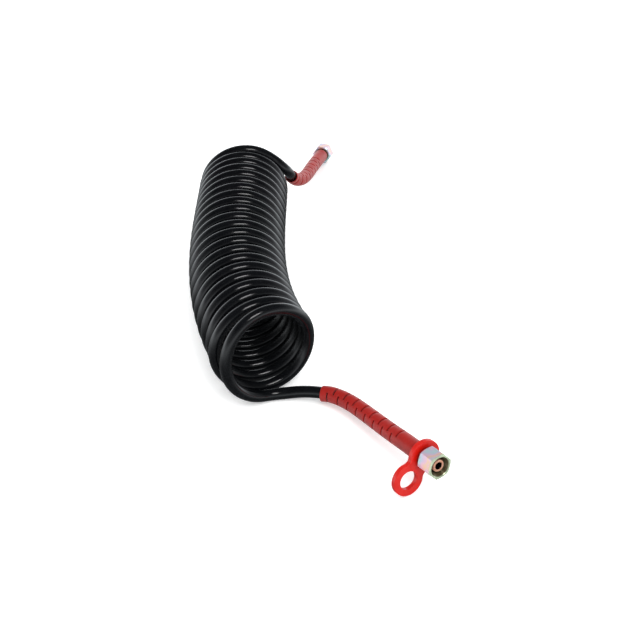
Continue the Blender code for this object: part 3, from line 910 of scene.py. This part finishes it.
def nut_material(name, fitting):
    """Satin zinc plating with clear passivation: the thin film's tint drifts along the nut's length."""
    shader = Shader(name, Metallic=0.55, IOR=1.6)
    along = shader.along(fitting.at(-NUT_LENGTH), fitting.at(0))
    patches = shader.math("MULTIPLY_ADD", shader.noise(85, 1, 0.4), 1.5, -0.45)
    drift = shader.math("MULTIPLY_ADD", along, 0.3, patches)
    tint = colour_ramp(shader.tree, drift, NUT_TINTS)
    tint = shader.mix(shader.rise(along, *NUT_FACE_STARTS), tint, NUT_FACE_TINT)
    outside = shader.rise(shader.off_axis(fitting), THREAD_ROOT_R, NUT_MOUTH_R)
    shader.feed("Base Color", shader.mix(outside, NUT_BORE_TINT, tint))
    shader.feed("Roughness", shader.mottle(420, 4, (0.3, 0.16), (0.7, 0.24)))
    shader.grain(1500, 3, 0.05)
    return shader.material


# painted shade: a near-black colour inside the nipple's bore
NIPPLE_BORE_PAINTED_SHADE = linear(24, 18, 16)
NIPPLE_BORE_EDGE = 0.2 * MM           # over which the bore's painted shade gives way to the brass


def nipple_material(name, fitting):
    """Turned brass with a coppery cast and fine tool marks, with near-black painted shade inside the bore.
    """
    shader = Shader(name, Metallic=0.6)
    turned = shader.mottle(240, 3, (0.3, linear(226, 160, 132)), (0.7, linear(240, 184, 156)))
    outside = shader.rise(shader.off_axis(fitting), NIPPLE_BORE_R, NIPPLE_BORE_R + NIPPLE_BORE_EDGE)
    shader.feed("Base Color", shader.mix(outside, NIPPLE_BORE_PAINTED_SHADE, turned))
    shader.feed("Roughness", shader.mottle(600, 3, (0.3, 0.22), (0.7, 0.36)))
    shader.grain(2200, 2, 0.10)
    return shader.material


def ferrule_material():
    """Plated steel, a little uneven from crimping."""
    shader = Shader("plated_ferrule", Metallic=1.0)
    zinc = shader.mottle(180, 3, (0.3, linear(168, 168, 170)), (0.7, linear(196, 197, 200)))
    shader.feed("Base Color", zinc)
    shader.feed("Roughness", shader.mottle(500, 3, (0.3, 0.28), (0.7, 0.42)))
    return shader.material


def seal_material():
    """Matt black rubber."""
    shader = Shader("seal_rubber", Metallic=0.0, IOR=1.5)
    shader.feed("Base Color", shader.mottle(300, 3, (0.3, linear(26, 26, 27)), (0.7, linear(38, 38, 39))))
    shader.feed("Roughness", shader.mottle(900, 2, (0.3, 0.5), (0.7, 0.65)))
    return shader.material


# --- floor and light -------------------------------------------------------------------------------
FLOOR_HALF = 30                       # metres
FLOOR_DROP = 0.2 * MM                 # keeps the floor clear of what lies on it


def add_floor():
    """A white floor that brightens its own shadows and doesn't show in gloss."""
    mesh = bpy.data.meshes.new("floor")
    with reworked(mesh) as work:
        bmesh.ops.create_grid(work, x_segments=1, y_segments=1, size=FLOOR_HALF)
    floor = new_object("floor", mesh)
    floor.location.z = -FLOOR_DROP
    shader = Shader("studio_floor", Roughness=0.9, Emission_Color=(1, 1, 1, 1), Emission_Strength=0.3)
    white = shader.mottle(3, 1, (0.3, linear(250, 250, 250)), (0.7, linear(252, 252, 252)))
    shader.feed("Base Color", white)
    mesh.materials.append(shader.material)
    floor.visible_glossy = False


def add_area(name, place, target, size, power, mirrored=True):
    """A soft rectangular light; one that isn't mirrored lights surfaces without showing in gloss."""
    light = bpy.data.lights.new(name, "AREA")
    light.shape = "RECTANGLE"
    light.size, light.size_y = size
    light.energy = power
    lamp = bpy.data.objects.new(name, light)
    lamp.location = place
    lamp.rotation_euler = (Vector(target) - Vector(place)).to_track_quat("-Z", "Y").to_euler()
    lamp.visible_glossy = mirrored
    bpy.context.scene.collection.objects.link(lamp)


def add_sun(name, strength, width):
    """An even light from overhead, as wide as the given angle, that doesn't show in gloss."""
    light = bpy.data.lights.new(name, "SUN")
    light.energy = strength
    light.angle = width
    lamp = bpy.data.objects.new(name, light)
    lamp.visible_glossy = False
    bpy.context.scene.collection.objects.link(lamp)


# brightness of the studio against the upward part of the direction looked in
SKY = ((-1.0, 0.15), (-0.5, 0.2), (-0.3, 0.6), (-0.12, 1.5), (0.0, 1.8), (0.12, 1.3), (0.25, 0.6),
       (0.45, 0.35), (0.6, 0.1), (0.75, 0.04))
SKY_TINT = (0.92, 0.97, 1.0)
# the studio is darker in front: over this range of the direction's part along Y, its brightness rises
# between these shares
DARK_FRONT = {"From Min": -0.5, "From Max": 0.1, "To Min": 0.55, "To Max": 1.0}


def add_studio():
    """Surroundings that are bright only near the horizon, for the hose's gloss to mirror."""
    world = bpy.data.worlds.new("studio")
    world.use_nodes = True
    tree = world.node_tree
    looked = add_node(tree, "TexCoord", {}).outputs["Generated"]
    parts = add_node(tree, "SeparateXYZ", {"Vector": looked}).outputs
    height = add_node(tree, "MapRange", {"Value": parts["Z"], "From Min": -1.0}).outputs["Result"]
    stops = [((z + 1) / 2, tuple(brightness * tint for tint in SKY_TINT) + (1.0,)) for z, brightness in SKY]
    front = add_node(tree, "MapRange", {"Value": parts["Y"], **DARK_FRONT}).outputs["Result"]
    background = tree.nodes["Background"].inputs
    tree.links.new(colour_ramp(tree, height, stops), background["Color"])
    tree.links.new(front, background["Strength"])
    bpy.context.scene.world = world


def add_light():
    """The studio, with one softbox, a broad sun and a front fill."""
    bpy.context.scene.view_settings.view_transform = "Standard"
    add_studio()
    add_area("softbox", place=(0.28, -1.30, 1.60), target=(0, 0, 0.05), size=(0.66, 0.55), power=8)
    add_area("front_fill", place=(0.5, -1.8, 0.9), target=(0.05, -0.3, 0.05), size=(1.2, 1.2), power=11,
             mirrored=False)
    add_sun("overhead_sun", strength=3.1, width=radians(100))


# --- the hose --------------------------------------------------------------------------------------
def make_end(end, fitting, line, nut_corner, shared_materials):
    """The sleeve, nut, nipple, ferrule and seal of one end."""
    sleeve_look, ferrule_look, seal_look = shared_materials
    body = end + "_end"
    sleeve = make_sleeve(end + "_slit_sleeve", line)
    place_piece(sleeve, body, end + "_antikink_sleeve", sleeve_look)
    nut = make_nut(end + "_nut", fitting, nut_corner)
    plating = nut_material(end + "_iridescent_zinc", fitting)
    place_piece(nut, end + "_nut", end + "_union_nut", plating)
    nipple = make_nipple(end + "_barbed_nipple", fitting)
    brass = nipple_material(end + "_turned_brass", fitting)
    place_piece(nipple, body, end + "_nipple", brass)
    ferrule = make_ferrule(end + "_ferrule", fitting)
    place_piece(ferrule, body, end + "_crimp_ferrule", ferrule_look)
    seal = make_o_ring(end + "_seal", fitting)
    place_piece(seal, body, end + "_o_ring", seal_look)
    return [sleeve, nut, nipple, ferrule, seal]


add_camera()
hose, hose_path, hose_length = make_hose()
shared = sleeve_material(), ferrule_material(), seal_material()
make_end("near", near, LINE, NEAR_NUT_CORNER, shared)
far_pieces = make_end("far", far, BACK_LINE, FAR_NUT_CORNER, shared)
tag = make_tag_ring("tag_ring", near)
place_piece(tag, "tag_ring", "near_tag_ring", tag_material())

add_floor()
add_light()
